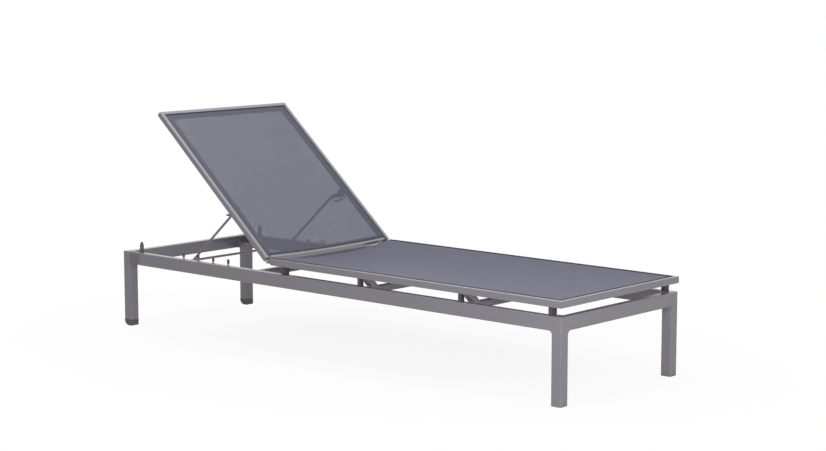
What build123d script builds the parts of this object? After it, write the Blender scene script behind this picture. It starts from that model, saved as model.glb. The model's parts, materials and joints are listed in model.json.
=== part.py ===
"""Sling chaise lounge: an aluminium base, a sling seat on spacer blocks and a backrest held up by a bail.

Frame: +X from the head to the foot, +Y to the left of someone lying on it, +Z up, millimetres.
The origin is on the floor, under the middle of the lounge. The backrest stands at its lowest raised stop.
"""
import os
from math import cos, hypot, radians, sin, sqrt, tan

from build123d import *

os.makedirs("parts", exist_ok=True)

# General values
overrun = 5.0
contact_gap = 0.3
quarter_turn = 90.0
plug_clearance = 0.1
pin_clearance = 0.05

# Base: four legs and the rails between them
base_length = 1996.0
base_width = 612.0
base_height = 273.0
leg_width = 36.0
leg_wall = 2.0
leg_top = 3.0
tube_corner = 2.5
rail_height = 45.0
rail_width = 24.0
rail_wall = 1.8
connector_length = 52.0
connector_recess = 1.2
plug_length = 20.0
weld_size = 8.0
cross_rail_setback = 42.7
cross_rail_height = 21.0
corner_bracket_reach = 56.0
corner_bracket_run = 24.0
corner_bracket_thickness = 5.0
corner_bracket_height = 20.0
corner_bracket_rise = 2.0
corner_tab_width = 24.0
corner_tab_thickness = 4.0
corner_tab_height = 29.0
corner_tab_round = 9.0

# Feet
head_cap_height = 22.0
head_cap_round = 21.5
glide_height = 6.0
foot_plug_height = 14.0

# Deck: the seat frame, which overhangs the base a little
deck_overhang = 2.0
seat_rail_height = 22.0
frame_rail_width = 26.0
frame_lip = 13.0
frame_wall = 1.8
frame_edge = 1.5
groove_width = 5.0
groove_depth = 4.0
ledge_drop = 2.6
spline_diameter = 4.8
seat_length_share = 0.61824
seat_end_round = 10.0
head_bar_thickness = 17.0
head_flange_thickness = 6.5
head_flange_drop = 10.0
head_flange_height = 16.0
cross_bar_width = 26.0
cross_bar_thickness = 20.0
cross_bar_drop = 28.0
cross_bar_bend = 45.0
cross_bar_wall = 1.8
cross_bar_gap = 6.0

# Spacer blocks between the base rails and the seat rails
spacer_height = 27.0
spacer_length = 14.0
end_spacer_depth = 24.0
middle_spacer_depth = 14.0
head_spacer_inset = 61.0
foot_spacer_inset = 43.0
head_middle_spacer_share = 0.33387
foot_middle_spacer_share = 0.3201
spacer_bolt_diameter = 6.0
spacer_bolt_hole = 6.6
spacer_bolt_reach = 6.0
bolt_head_height = 3.0
bolt_head_diameter = 9.0

# Fabric of the seat and the backrest
sling_thickness = 1.4
sling_edge_gap = 0.3
sling_least_sag = 0.2
seat_head_sag = 18.0
seat_middle_sag = 14.0
back_foot_sag = 8.0
back_middle_sag = 9.0

# Hinge between the seat and the backrest
hinge_setback = 17.3
hinge_eye_radius = 6.8
hinge_pin_diameter = 6.0
hinge_ear_thickness = 5.5
hinge_tongue_thickness = 7.4
hinge_play = 0.3
hinge_pin_head_diameter = 11.0
hinge_pin_head_height = 2.0
hinge_plug_length = 24.0

# Backrest frame
back_angle = 41.2
back_length_share = 0.35421
back_thickness = 18.6
back_start = 7.3
back_bar_width = 24.0
back_bar_lip = 8.0

# Bail: two arms and a cross rod that stops behind the rack pins
bail_rod_diameter = 8.5
bail_inset = 46.4
bail_rod_end_gap = 13.0
bail_pivot_share = 0.37214
bail_pivot_behind = 23.9
bail_pin_diameter = 8.0
bail_eye_diameter = 18.0
bail_eye_thickness = 8.5
bail_spacer_diameter = 13.0
bail_nut_diameter = 12.0
bail_nut_height = 4.0
bail_bracket_thickness = 4.0
bail_bracket_offset = 12.0
bail_bracket_foot = 28.0
bail_bracket_depth = 13.0
bail_bracket_boss = 8.5
bail_hook_radius = 19.0
bail_hook_width = 7.0
bail_hook_drop = 0.5
bail_hook_start = 125.0
bail_hook_turn = 170.0
bail_hook_tail = 18.0
bail_screw_diameter = 5.0
bail_screw_head = 8.0
bail_screw_head_height = 2.0
bail_screw_reach = 2.0
bail_screw_pitch = 16.0

# Racks on the base rails, with the pins that hold the cross rod
rod_drop = 12.2
rod_setback_share = 0.22395
rack_head_reach = 28.0
rack_foot_reach = 38.0
rack_ledge_width = 20.0
rack_thickness = 3.0
rack_web_height = 15.0
rack_pin_diameter = 9.0
rack_pin_height = 35.0
rack_pin_round = 2.0
rack_stem_diameter = 6.0
rack_sleeve_height = 15.0
rack_stem_end = 4.0
rack_spigot_diameter = 5.0
rack_pin_pitch_share = 0.17226
rack_pin_count = 4
rack_rivet_diameter = 5.0
rack_rivet_head = 9.0
rack_rivet_head_height = 2.0
rack_rivet_reach = 2.0
rivet_pitch_shares = (-1.0, 0.5, 2.5)

# Posts on which the lowered backrest rests
post_diameter = 15.0
post_top_diameter = 14.0
post_from_seam = 1.0
post_tip_diameter = 10.5
post_tip_height = 9.0
post_tip_round = 3.5
post_tip_hole = 12.0
post_spigot_diameter = 8.0
post_spigot_length = 12.0

# Places that follow from the sizes
total_length = base_length + deck_overhang
x_head = -total_length / 2
x_foot = x_head + base_length
x_deck = total_length / 2
y_base = base_width / 2
y_rail = y_base - rail_width
y_leg = y_base - leg_width
y_deck = y_base + deck_overhang
y_frame = y_deck - frame_rail_width
y_middle = y_base - rail_width / 2
z_rail = base_height - rail_height
seat_bottom = base_height + spacer_height
deck_height = seat_bottom + seat_rail_height
x_leg = x_head + leg_width
x_seam = x_leg + connector_length
leg_setback = (leg_width - rail_width) / 2
seat_length = base_length * seat_length_share
x_seat = x_deck - seat_length
axis_x = x_seat - hinge_setback
axis_z = deck_height - seat_rail_height / 2
back_front = deck_height - axis_z
back_rear = back_front - back_thickness
back_length = base_length * back_length_share
back_end = back_start + back_length
hinge_y = y_deck - frame_rail_width / 2
rod_setback = base_length * rod_setback_share
rod_x = axis_x - rod_setback
rod_height = base_height - rod_drop
rack_pin_pitch = rod_setback * rack_pin_pitch_share
bail_half_width = y_frame - bail_inset
bail_rod_reach = y_rail - bail_rod_end_gap
bail_pivot_along = back_length * bail_pivot_share
sling_inset = frame_lip + groove_width + sling_edge_gap
sling_half = y_deck - sling_inset
ledge_z = deck_height - ledge_drop
sling_top = ledge_z + contact_gap + sling_thickness
both_sides = (1, -1)


def block(x, y, z):
    """A box between two limits on each axis."""
    size = Box(x[1] - x[0], y[1] - y[0], z[1] - z[0], align=(Align.MIN, Align.MIN, Align.MIN))
    return Pos(x[0], y[0], z[0]) * size


def round_bar(radius, start, end):
    """A cylinder from one point to another."""
    run = Vector(*end) - Vector(*start)
    return extrude(Plane(origin=start, z_dir=run) * Circle(radius), run.length)


def other_side(solid):
    """The same piece on the right of the lounge."""
    return mirror(solid, about=Plane.XZ)


def group(solids):
    """Separate solids that share one node."""
    return Compound(children=[piece for shape in solids for piece in shape.solids()])


def save(name, shape):
    """Write one node."""
    export_step(shape, f"parts/{name}.step")


def save_pair(name, shape):
    """Write a left piece and its mirror image on the right."""
    save(f"{name}_left", shape)
    save(f"{name}_right", other_side(shape))


def in_back(shape):
    """Put a piece drawn along the flat backrest, from its axis to -X, into its raised place."""
    return Pos(axis_x, 0, axis_z) * Rot(0, back_angle, 0) * shape


def back_point(along, height):
    """The X and Z of a point of the raised backrest."""
    turn = radians(back_angle)
    x = axis_x - along * cos(turn) + height * sin(turn)
    return x, axis_z + along * sin(turn) + height * cos(turn)


def leg(x, foot_height, outer_x):
    """A leg tube, closed at its top and open at its foot; beside the rails two corners stay sharp."""
    step = z_rail - weld_size
    tube = block((x, x + leg_width), (y_leg, y_base), (foot_height, step))
    tube = fillet(tube.edges().filter_by(Axis.Z), tube_corner)
    upper = block((x, x + leg_width), (y_leg, y_base), (step, base_height))
    corners = upper.edges().filter_by(Axis.Z)
    free = [e for e in corners if at_place(e.center().X, outer_x) == at_place(e.center().Y, y_base)]
    tube += fillet(free, tube_corner)
    bore = block(
        (x + leg_wall, x + leg_width - leg_wall),
        (y_leg + leg_wall, y_base - leg_wall),
        (foot_height - overrun, base_height - leg_top),
    )
    return tube - bore


def at_place(value, place):
    """Whether a coordinate is at a place."""
    return abs(value - place) < contact_gap


def weld_face(plane, start, side):
    """A concave corner's face under a rail, in an upright plane; side points away from the leg."""
    size = weld_size
    low = z_rail - size
    end = start + side * size
    middle = size * (1 - sin(radians(quarter_turn / 2)))
    outline = Line((start, z_rail), (end, z_rail))
    outline += ThreePointArc((end, z_rail), (start + side * middle, z_rail - middle), (start, low))
    return plane * make_face(outline + Line((start, low), (start, z_rail)))


def side_rail_weld(x):
    """The weld under a side rail's foot end."""
    return extrude(weld_face(Plane.XZ.offset(-y_base), x, -1), rail_width)


def end_rail_weld(x):
    """The weld under one end of the head or the foot rail, whose head face is at x."""
    return extrude(weld_face(Plane.YZ.offset(x), y_leg, -1), rail_width)


def leg_plug(x, foot_height):
    """The part of a foot that fills the end of its leg."""
    inset = leg_wall + plug_clearance
    return block(
        (x + inset, x + leg_width - inset),
        (y_leg + inset, y_base - inset),
        (foot_height, foot_height + foot_plug_height),
    )


def head_cap():
    """The head leg's plastic cap, rounded at its lower head corner."""
    cap = block((x_head, x_leg), (y_leg, y_base), (0, head_cap_height))
    corner = cap.edges().filter_by(Axis.Y).group_by(Axis.Z)[0].sort_by(Axis.X)[0]
    cap = fillet(corner, head_cap_round)
    upright = cap.edges().filter_by(Axis.Z).sort_by(Axis.X)[-2:]
    return fillet(upright, tube_corner) + leg_plug(x_head, head_cap_height)


def foot_glide():
    """The foot leg's plastic glide."""
    x = x_foot - leg_width
    glide = block((x, x_foot), (y_leg, y_base), (0, glide_height))
    glide = fillet(glide.edges().filter_by(Axis.Z), tube_corner)
    return glide + leg_plug(x, glide_height)


def rail_tube(x, y, low):
    """A base rail between two limits in plan and from a lower face, hollow along its longer side."""
    tube = block(x, y, (low, base_height))
    along_x = x[1] - x[0] > y[1] - y[0]
    tube = fillet(tube.edges().filter_by(Axis.X if along_x else Axis.Y), tube_corner)
    inset_x = -overrun if along_x else rail_wall
    inset_y = rail_wall if along_x else -overrun
    bore = block(
        (x[0] + inset_x, x[1] - inset_x),
        (y[0] + inset_y, y[1] - inset_y),
        (low + rail_wall, base_height - rail_wall),
    )
    return tube - bore


def spacer_places():
    """X and depth of the four spacer blocks of one side, from the head to the foot."""
    return [
        (x_seat + head_spacer_inset, end_spacer_depth),
        (x_seat + seat_length * head_middle_spacer_share, middle_spacer_depth),
        (x_deck - seat_length * foot_middle_spacer_share, middle_spacer_depth),
        (x_deck - foot_spacer_inset, end_spacer_depth),
    ]


def bolt_holes(z, diameter):
    """The clearance holes of one side's spacer bolts, between two heights."""
    holes = []
    for x, depth in spacer_places():
        y = bolt_y(depth)
        holes.append(round_bar(diameter / 2, (x, y, z[0]), (x, y, z[1])))
    return group(holes)


def bolt_y(depth):
    """The Y of a spacer bolt, in the middle of its block."""
    return y_base - depth / 2


def side_rail():
    """The base's long rail, with holes for the spacer bolts, the post and the rack's rivets."""
    rail = rail_tube((x_seam, x_foot - leg_width), (y_rail, y_base), z_rail)
    rail -= bolt_holes((base_height - overrun, base_height + overrun), spacer_bolt_hole)
    rail -= post_bar(post_spigot_diameter + plug_clearance, (base_height - overrun, base_height + overrun))
    for x in rivet_places():
        radius = rack_rivet_diameter / 2 + pin_clearance
        rail -= round_bar(radius, (x, y_rail - overrun, rivet_z()), (x, y_rail + overrun, rivet_z()))
    return rail


def head_connector():
    """The dark block between a head leg and its side rail, plugged into the rail."""
    y = (y_rail, y_base - connector_recess)
    body = block((x_leg, x_seam), y, (z_rail + connector_recess, base_height - connector_recess))
    inset = rail_wall + plug_clearance
    plug = block(
        (x_seam - overrun, x_seam + plug_length),
        (y_rail + inset, y_base - inset),
        (z_rail + inset, base_height - inset),
    )
    return body + plug - post_bar(post_spigot_diameter + plug_clearance, (z_rail, base_height + overrun))


def head_corner_bracket():
    """A bent flat bar across a head corner, from a tab on the head rail to the side rail's inner face."""
    x = x_head + leg_setback + rail_width
    y = y_rail - corner_bracket_reach
    low = z_rail + corner_bracket_rise
    bend = x + corner_bracket_run
    half = corner_bracket_thickness / 2
    outer = corner_bracket_reach + half
    inner = corner_bracket_reach - half
    outline = Line((x, y - half), (bend, y - half)) + bracket_arc(bend, outer)
    outline += Line((bend + outer, y_rail), (bend + inner, y_rail)) + bracket_arc(bend, inner)
    outline += Line((bend, y + half), (x, y + half)) + Line((x, y + half), (x, y - half))
    bar = extrude(Pos(0, 0, low) * make_face(outline), corner_bracket_height)
    width = corner_tab_width / 2
    tab = block((x, x + corner_tab_thickness), (y - width, y + width), (low, low + corner_tab_height))
    top = tab.edges().filter_by(Axis.X).group_by(Axis.Z)[-1]
    return bar + fillet(top, corner_tab_round)


def bracket_arc(x, radius):
    """A quarter arc in plan, from the bracket's straight part round to the side rail."""
    middle = radius * sin(radians(quarter_turn / 2))
    return ThreePointArc((x, y_rail - radius), (x + middle, y_rail - middle), (x + radius, y_rail))


def frame_section(outer, top, height, lip, width, side=1):
    """A frame rail's section: a lip outside, a groove, and a lower ledge inside; side points outward."""
    groove = outer - side * lip
    inner = outer - side * width
    ledge = groove - side * groove_width
    points = [
        (outer, top - height),
        (outer, top),
        (groove, top),
        (groove, top - groove_depth),
        (ledge, top - groove_depth),
        (ledge, top - ledge_drop),
        (inner, top - ledge_drop),
        (inner, top - height),
    ]
    bore_top = top - groove_depth - frame_wall
    bore_bottom = top - height + frame_wall
    bore = [
        (outer - side * frame_wall, bore_bottom),
        (outer - side * frame_wall, bore_top),
        (inner + side * frame_wall, bore_top),
        (inner + side * frame_wall, bore_bottom),
    ]
    shape = make_face(Polyline(*points, close=True))
    rounded = shape.vertices().filter_by(lambda v: abs(v.X - outer) < frame_edge)
    return fillet(rounded, frame_edge) - make_face(Polyline(*bore, close=True))


def plan_prism(points):
    """A tall prism over an outline in plan, to cut mitres with."""
    outline = make_face(Polyline(*points, close=True))
    return extrude(Pos(0, 0, -deck_height) * outline, deck_height + deck_height)


def side_frame_rail(x, top, height, mitre_at_foot):
    """A left frame rail between two X limits, mitred at one end and square at the other."""
    section = frame_section(y_deck, top, height, frame_lip, frame_rail_width)
    bar = extrude(Plane.YZ.offset(x[0]) * section, x[1] - x[0])
    low = x[0] if mitre_at_foot else x[0] + frame_rail_width
    high = x[1] - frame_rail_width if mitre_at_foot else x[1]
    return bar & plan_prism([(x[0], y_deck), (x[1], y_deck), (high, y_frame), (low, y_frame)])


def end_frame_rail(x_end, side, top, height):
    """A frame's end rail, mitred at both ends; side is the way from the frame's middle to its end."""
    section = frame_section(x_end, top, height, frame_lip, frame_rail_width, side)
    bar = extrude(Plane.XZ.offset(-y_deck) * section, y_deck + y_deck)
    inner = x_end - side * frame_rail_width
    return bar & plan_prism([(x_end, y_deck), (x_end, -y_deck), (inner, -y_frame), (inner, y_frame)])


def hinge_cylinder(radius, y):
    """A cylinder on the hinge's axis between two Y limits."""
    return round_bar(radius, (axis_x, y[0], axis_z), (axis_x, y[1], axis_z))


def seat_end_trim():
    """What the rounds on the seat rail's two head corners take away."""
    radius = seat_end_round
    y = (y_frame - overrun, y_deck + overrun)
    end = block((x_seat - overrun, x_seat + radius), y, (seat_bottom - overrun, deck_height + overrun))
    end -= block((x_seat, x_seat + radius), y, (seat_bottom + radius, deck_height - radius))
    for z in (seat_bottom + radius, deck_height - radius):
        end -= round_bar(radius, (x_seat + radius, y[0], z), (x_seat + radius, y[1], z))
    return end


def seat_side_rail():
    """The seat's left rail, with holes for the spacer bolts."""
    rail = side_frame_rail((x_seat, x_deck), deck_height, seat_rail_height, True) - seat_end_trim()
    return rail - bolt_holes((seat_bottom - overrun, seat_bottom + frame_wall + overrun), spacer_bolt_hole)


def spacer(x, depth):
    """A spacer block between a base rail and a seat rail."""
    half = spacer_length / 2
    body = block((x - half, x + half), (y_base - depth, y_base), (base_height, seat_bottom))
    y = bolt_y(depth)
    hole = round_bar(spacer_bolt_hole / 2, (x, y, base_height - overrun), (x, y, seat_bottom + overrun))
    return body - hole


def spacer_bolt(x, depth):
    """A bolt from inside a base rail, up through its spacer, into the seat rail."""
    y = bolt_y(depth)
    under = base_height - rail_wall
    top = seat_bottom + frame_wall + spacer_bolt_reach
    shank = round_bar(spacer_bolt_diameter / 2, (x, y, under), (x, y, top))
    return shank + round_bar(bolt_head_diameter / 2, (x, y, under - bolt_head_height), (x, y, under))


def bowed_face(half, top, thickness, sag):
    """An upright face across the lounge whose top and bottom hang down in an arc."""
    bottom = top - thickness
    outline = ThreePointArc((-half, top), (0, top - sag), (half, top)) + Line((half, top), (half, bottom))
    outline += ThreePointArc((half, bottom), (0, bottom - sag), (-half, bottom))
    return make_face(outline + Line((-half, bottom), (-half, top)))


def seat_head_bar():
    """The bar across the seat's head end: a bow under the fabric, and a straight flange before it."""
    top = sling_top - sling_thickness - contact_gap
    face = bowed_face(y_frame, top, head_bar_thickness, seat_head_sag)
    bow = extrude(Plane.YZ.offset(x_seat) * face, frame_rail_width)
    flange_top = deck_height - head_flange_drop
    z = (flange_top - head_flange_height, flange_top)
    return bow + block((x_seat - head_flange_thickness, x_seat), (-y_frame, y_frame), z)


def cross_bar_face(inset):
    """The bent flat tube's upright face, or with an inset its bore's, open at both ends."""
    bend = radians(cross_bar_bend)
    thickness = cross_bar_thickness - inset - inset
    rise = overrun if inset else 0
    top = seat_bottom + rise
    low = seat_bottom - cross_bar_drop - inset
    outer = y_deck + rise / tan(bend) - inset / sin(bend)
    inner = outer - thickness / sin(bend)
    knee = inner - (top - low) / tan(bend)
    heel = knee + thickness * tan(bend / 2)
    points = [
        (inner, top),
        (knee, low),
        (-knee, low),
        (-inner, top),
        (-outer, top),
        (-heel, low - thickness),
        (heel, low - thickness),
        (outer, top),
    ]
    return make_face(Polyline(*points, close=True))


def cross_bar(x):
    """A flat tube that drops at both ends from the seat rails and runs low across the lounge."""
    wall = cross_bar_wall
    tube = extrude(Plane.YZ.offset(x) * cross_bar_face(0), cross_bar_width)
    return tube - extrude(Plane.YZ.offset(x + wall) * cross_bar_face(wall), cross_bar_width - wall - wall)


def cross_bar_places():
    """The head side of the two cross bars, each just past a middle spacer."""
    step = spacer_length / 2 + cross_bar_gap
    return [x + step for x, depth in spacer_places() if depth == middle_spacer_depth]


def sling_face(top, sag):
    """The fabric's section across: flat on the ledges, hanging in an arc between the rails."""
    low = top - sling_thickness
    a = sling_half
    b = y_frame
    outline = Line((-a, top), (-b, top)) + ThreePointArc((-b, top), (0, top - sag), (b, top))
    outline += Line((b, top), (a, top)) + Line((a, top), (a, low)) + Line((a, low), (b, low))
    outline += ThreePointArc((b, low), (0, low - sag), (-b, low))
    return make_face(outline + Line((-b, low), (-a, low)) + Line((-a, low), (-a, top)))


def sling(top, places, x_end):
    """A fabric panel through sections at several X, each with its own sag, and flat on the end rail."""
    faces = [(Plane.YZ.offset(x) * sling_face(top, sag)).face() for x, sag in places]
    x_rail = places[-1][0]
    x = (min(x_rail, x_end), max(x_rail, x_end))
    hem = block(x, (-sling_half, sling_half), (top - sling_thickness, top))
    return loft(faces) + hem


def seat_sling():
    """The seat's fabric, deepest at its head edge and straight on the foot rail."""
    rail = x_deck - frame_rail_width
    middle = (x_seat + rail) / 2
    places = [(x_seat, seat_head_sag), (middle, seat_middle_sag), (rail, sling_least_sag)]
    return sling(sling_top, places, x_deck - sling_inset)


def spline_rod(x, y, top):
    """A round spline that holds the fabric's edge in a groove."""
    radius = spline_diameter / 2
    z = top - groove_depth + radius
    return round_bar(radius, (x[0], y, z), (x[1], y, z))


def spline_y():
    """The middle of a side groove."""
    return y_deck - frame_lip - groove_width / 2


def end_spline(x, top):
    """A spline along an end rail's groove, past the ends of the side splines."""
    radius = spline_diameter / 2
    z = top - groove_depth + radius
    return round_bar(radius, (x, -spline_y() - radius, z), (x, spline_y() + radius, z))


def frame_splines(x, x_end, top):
    """The splines of one frame: two along the sides between the X limits, and one along the end rail."""
    side = spline_rod(x, spline_y(), top)
    return group([side, other_side(side), end_spline(x_end, top)])


def seat_splines():
    """The splines in the seat frame's grooves."""
    x_end = x_deck - frame_lip - groove_width / 2
    return frame_splines((x_seat, x_end - spline_diameter / 2 - pin_clearance), x_end, deck_height)


def back_splines():
    """The splines in the backrest frame's grooves, drawn along the flat backrest."""
    x_end = -back_end + frame_lip + groove_width / 2
    x = (x_end + spline_diameter / 2 + pin_clearance, -back_start)
    return group([frame_splines(x, x_end, back_front), back_bar_spline()])


def seat_hinge_ears():
    """The clevis in the seat rail's head end: a plug and two ears round the pivot."""
    inset = frame_wall + plug_clearance
    plug = block(
        (x_seat, x_seat + hinge_plug_length),
        (y_frame + inset, y_deck - inset),
        (seat_bottom + inset, deck_height - groove_depth - inset),
    )
    plug -= seat_end_trim()
    inner = hinge_tongue_thickness / 2 + hinge_play
    outer = inner + hinge_ear_thickness
    hole = hinge_cylinder(hinge_pin_diameter / 2 + pin_clearance, (y_frame - overrun, y_deck + overrun))
    ears = plug
    for y in ((hinge_y + inner, hinge_y + outer), (hinge_y - outer, hinge_y - inner)):
        reach = block((axis_x, x_seat), y, (axis_z - hinge_eye_radius, axis_z + hinge_eye_radius))
        ears += hinge_cylinder(hinge_eye_radius, y) + reach
    return ears - hole


def back_hinge_tongue():
    """The tongue in the backrest rail's lower end, drawn along the flat backrest."""
    half = hinge_tongue_thickness / 2
    inset = frame_wall + plug_clearance
    z = (back_rear + inset, back_front - groove_depth - inset)
    plug = block((-back_start - hinge_plug_length, -back_start), (y_frame + inset, y_deck - inset), z)
    neck = block((-back_start - hinge_eye_radius, 0), (hinge_y - half, hinge_y + half), z)
    eye = round_bar(hinge_eye_radius, (0, hinge_y - half, 0), (0, hinge_y + half, 0))
    hole = round_bar(hinge_pin_diameter / 2 + pin_clearance, (0, y_frame, 0), (0, y_deck, 0))
    return plug + neck + eye - hole


def hinge_pin():
    """The pivot pin with its two heads, turned in the seat's ears."""
    reach = hinge_tongue_thickness / 2 + hinge_play + hinge_ear_thickness
    pin = hinge_cylinder(hinge_pin_diameter / 2, (hinge_y - reach, hinge_y + reach))
    for side in both_sides:
        y = (hinge_y + side * reach, hinge_y + side * (reach + hinge_pin_head_height))
        pin += hinge_cylinder(hinge_pin_head_diameter / 2, (min(y), max(y)))
    return pin


def back_side_rail():
    """The backrest's left rail, with holes for the rest post's tip and the bracket's screws."""
    rail = side_frame_rail((-back_end, -back_start), back_front, back_thickness, False)
    x = post_x() - axis_x
    y = y_middle
    z = (back_rear - overrun, back_rear + frame_wall + contact_gap)
    rail -= round_bar(post_tip_hole / 2, (x, y, z[0]), (x, y, z[1]))
    return rail - screw_holes((y_frame, y_frame + frame_wall))


def back_bar_layer(front, thickness, reach):
    """A bowed layer of the backrest's lower bar, between two distances from the rails' ends."""
    face = bowed_face(y_frame, front, thickness, back_foot_sag)
    return extrude(Plane.YZ.offset(-back_start - reach[1]) * face, reach[1] - reach[0])


def back_bottom_bar():
    """The backrest's bowed lower bar: a lip, a groove for a spline, and a ledge under the fabric."""
    groove_end = back_bar_lip + groove_width
    bar = back_bar_layer(back_front, back_thickness, (0, back_bar_lip))
    floor = back_thickness - groove_depth
    bar += back_bar_layer(back_front - groove_depth, floor, (back_bar_lip, groove_end))
    ledge = back_thickness - ledge_drop
    return bar + back_bar_layer(back_front - ledge_drop, ledge, (groove_end, back_bar_width))


def back_bar_spline():
    """The spline in the lower bar's groove, square in section to follow the bow."""
    start = back_bar_lip + (groove_width - spline_diameter) / 2
    front = back_front - groove_depth + spline_diameter
    return back_bar_layer(front, spline_diameter, (start, start + spline_diameter))


def back_sling():
    """The backrest's fabric, drawn along the flat backrest."""
    top = back_front - ledge_drop + contact_gap + sling_thickness
    foot = -back_start - back_bar_lip - groove_width - sling_edge_gap
    rail = -back_end + frame_rail_width
    middle = (foot + rail) / 2
    places = [(foot, back_foot_sag), (middle, back_middle_sag), (rail, sling_least_sag)]
    return sling(top, places, -back_end + sling_inset)


def post_x():
    """The X of a rest post, on the side rail just past the head connector."""
    return x_seam + post_from_seam


def post_bar(diameter, z):
    """An upright cylinder on a rest post's axis."""
    return round_bar(diameter / 2, (post_x(), y_middle, z[0]), (post_x(), y_middle, z[1]))


def rest_post():
    """A tapering post on the side rail that the lowered backrest rests on, with a spigot in the rail."""
    top = axis_z + back_rear - contact_gap
    foot = Pos(post_x(), y_middle, base_height) * Circle(post_diameter / 2)
    head = Pos(post_x(), y_middle, top) * Circle(post_top_diameter / 2)
    body = loft([foot.face(), head.face()])
    return body + post_bar(post_spigot_diameter, (base_height - post_spigot_length, base_height))


def post_tip():
    """The small dark tip on a rest post."""
    top = axis_z + back_rear - contact_gap
    tip = post_bar(post_tip_diameter, (top, top + post_tip_height))
    return fillet(tip.edges().group_by(Axis.Z)[-1], post_tip_round)


def pivot_point():
    """The X and Z of the bail's pivot."""
    return back_point(bail_pivot_along, -bail_pivot_behind)


def bail_arm():
    """The bail's left arm, from the eye on its pivot to the cross rod."""
    x, z = pivot_point()
    radius = bail_rod_diameter / 2
    y = (bail_half_width - bail_eye_thickness / 2, bail_half_width + bail_eye_thickness / 2)
    arm = round_bar(radius, (x, bail_half_width, z), (rod_x, bail_half_width, rod_height))
    eye = round_bar(bail_eye_diameter / 2, (x, y[0], z), (x, y[1], z))
    hole = round_bar(bail_pin_diameter / 2 + pin_clearance, (x, y[0] - overrun, z), (x, y[1] + overrun, z))
    rod = round_bar(radius, (rod_x, y[0] - overrun, rod_height), (rod_x, y[1] + overrun, rod_height))
    return arm + eye - hole - rod


def bail_cross_rod():
    """The bail's cross rod, straight from rack to rack."""
    return cross_pin(bail_rod_diameter / 2, (rod_x, rod_height), (-bail_rod_reach, bail_rod_reach))


def cross_pin(radius, place, y):
    """A cylinder across the lounge at an X and Z, between two Y limits."""
    return round_bar(radius, (place[0], y[0], place[1]), (place[0], y[1], place[1]))


def bracket_plate_y():
    """The Y limits of the bail bracket's inner plate."""
    outer = y_frame - bail_bracket_offset
    return outer - bail_bracket_thickness, outer


def bail_bracket():
    """A cranked bracket: a foot on the backrest rail, and a plate with the pivot and a curled hook."""
    along = bail_pivot_along
    half = bail_bracket_foot / 2
    reach = bail_bracket_boss
    pivot = (-along, -bail_pivot_behind)
    y_foot = (y_frame - bail_bracket_thickness, y_frame)
    y_plate = bracket_plate_y()
    shelf = (back_rear - bail_bracket_thickness, back_rear)
    bracket = block((-along - half, -along + half), y_foot, (shelf[0], back_rear + bail_bracket_depth))
    bracket += block((-along - half, -along + half), (y_plate[0], y_frame), shelf)
    bracket += block((-along - reach, -along + reach), y_plate, (-bail_pivot_behind, shelf[1]))
    bracket += cross_pin(reach, pivot, y_plate) + bail_hook(pivot, y_plate)
    hole = bail_pin_diameter / 2 + pin_clearance
    bracket -= cross_pin(hole, pivot, (y_plate[0] - overrun, y_plate[1] + overrun))
    return bracket - screw_holes(y_foot)


def bail_hook(pivot, y):
    """The strip that curls from the bracket's shelf round the pivot, with a straight tail."""
    start = hook_point(pivot, 0)
    arc = ThreePointArc(start, hook_point(pivot, bail_hook_turn / 2), hook_point(pivot, bail_hook_turn))
    tail_run = bail_hook_tail * (arc % 1)
    path = arc + Line(arc @ 1, (arc @ 1) + tail_run)
    strip = offset(path, bail_hook_width / 2, side=Side.BOTH, kind=Kind.ARC)
    return extrude(Plane.XZ.offset(-y[1]) * make_face(strip.edges()), y[1] - y[0])


def hook_point(pivot, turn):
    """A point of the hook's middle line, a turn past its start, drawn along the flat backrest."""
    angle = radians(bail_hook_start - turn)
    tilt = radians(back_angle)
    x = pivot[0] + bail_hook_drop * sin(tilt) + bail_hook_radius * cos(angle)
    return x, pivot[1] - bail_hook_drop * cos(tilt) + bail_hook_radius * sin(angle)


def screw_places():
    """Where the bracket's two screws are, drawn along the flat backrest."""
    height = back_rear + bail_bracket_depth / 2
    half = bail_screw_pitch / 2
    return [(-bail_pivot_along - half, height), (-bail_pivot_along + half, height)]


def screw_holes(y):
    """The holes for one bracket's screws through a wall between two Y limits."""
    radius = bail_screw_diameter / 2 + pin_clearance
    return group([cross_pin(radius, place, (y[0] - overrun, y[1] + overrun)) for place in screw_places()])


def bracket_screws():
    """One bracket's two screws, through its foot into the rail."""
    face = y_frame - bail_bracket_thickness
    screws = []
    for place in screw_places():
        shank = cross_pin(bail_screw_diameter / 2, place, (face, y_frame + frame_wall + bail_screw_reach))
        screws.append(shank + cross_pin(bail_screw_head / 2, place, (face - bail_screw_head_height, face)))
    return group(screws)


def pivot_pin():
    """The bail's left pivot pin, with a head outside the bracket and a nut inside the arm."""
    place = pivot_point()
    plate = bracket_plate_y()
    inner = bail_half_width - bail_eye_thickness / 2 - contact_gap
    pin = cross_pin(bail_pin_diameter / 2, place, (inner, plate[1]))
    pin += cross_pin(bail_nut_diameter / 2, place, (plate[1], plate[1] + bail_nut_height))
    return pin + cross_pin(bail_nut_diameter / 2, place, (inner - bail_nut_height, inner))


def pivot_spacer():
    """The sleeve on the pivot pin between the bracket's plate and the arm."""
    place = pivot_point()
    y = (bail_half_width + bail_eye_thickness / 2 + contact_gap, bracket_plate_y()[0])
    sleeve = cross_pin(bail_spacer_diameter / 2, place, y)
    hole = bail_pin_diameter / 2 + pin_clearance
    return sleeve - cross_pin(hole, place, (y[0] - overrun, y[1] + overrun))


def rack_pin_places():
    """X of the rack's pins; the cross rod rests against the first one's stem, on its foot side."""
    first = rod_x - bail_rod_diameter / 2 - rack_stem_diameter / 2
    return [first + number * rack_pin_pitch for number in range(rack_pin_count)]


def rack_top():
    """The height of the ledge that the cross rod slides on."""
    return rod_height - bail_rod_diameter / 2 - contact_gap


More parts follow.
